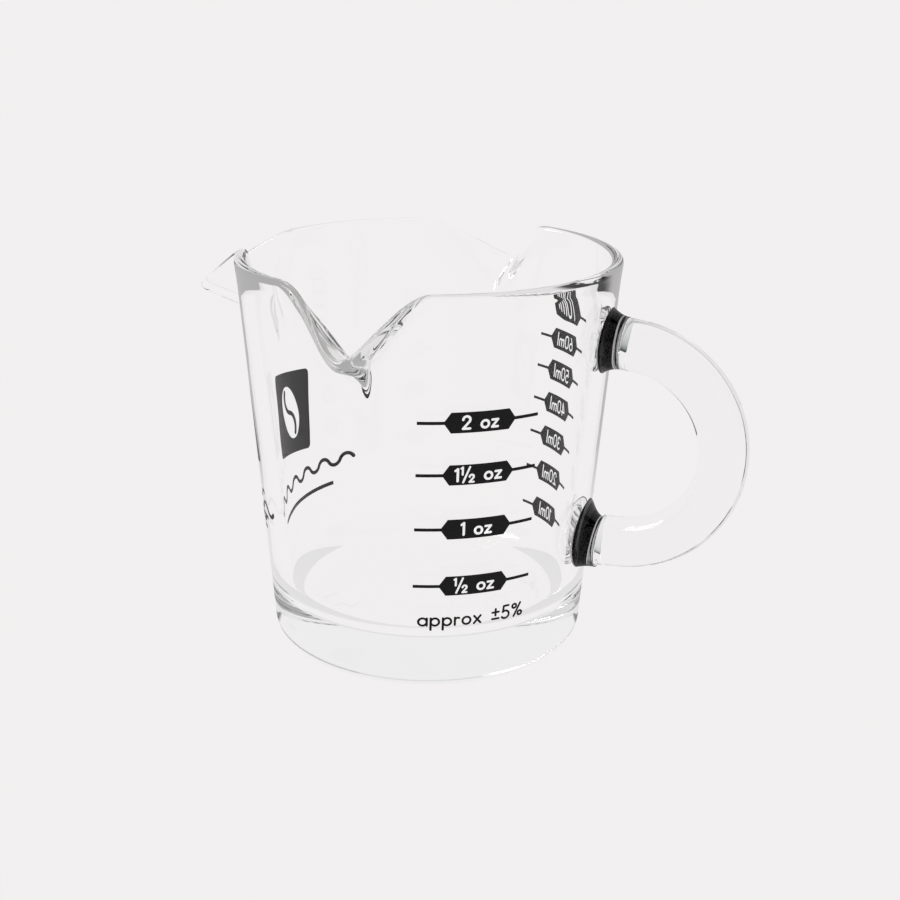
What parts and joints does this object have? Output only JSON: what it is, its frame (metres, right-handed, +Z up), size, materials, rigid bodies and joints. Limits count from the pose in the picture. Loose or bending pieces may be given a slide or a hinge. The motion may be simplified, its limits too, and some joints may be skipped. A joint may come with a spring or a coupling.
{
  "type": "spouted glass shot measure",
  "caption": "Small clear glass measuring cup with V-shaped pouring spouts round its rim, a C-shaped glass rod handle and black enamel graduations.",
  "frame": {"origin": "centre of the foot, on the plane that the cup rests on", "axes": "+Z up along the cup's axis, +X towards the handle, so -X is the spout opposite the handle"},
  "size_m": [0.0867, 0.0726, 0.0597],
  "materials": {
    "clear_glass": "polished clear",
    "handle_glass": "fire-polished clear",
    "seal_glass": "fire-polished clear",
    "black_enamel": "fired enamel, satin"
  },
  "bodies": {
    "root": {"cup": "clear_glass", "handle": "handle_glass", "upper_handle_seal": "seal_glass", "lower_handle_seal": "seal_glass", "half_ounce_mark": "black_enamel", "one_ounce_mark": "black_enamel", "one_and_half_ounce_mark": "black_enamel", "two_ounce_mark": "black_enamel", "millilitre_mark_10": "black_enamel", "millilitre_mark_20": "black_enamel", "millilitre_mark_30": "black_enamel", "millilitre_mark_40": "black_enamel", "millilitre_mark_50": "black_enamel", "millilitre_mark_60": "black_enamel", "millilitre_mark_70": "black_enamel", "tolerance_note": "black_enamel", "emblem_panel": "black_enamel", "emblem_upper_rule": "black_enamel", "emblem_lower_rule": "black_enamel"}
  },
  "joints": []
}
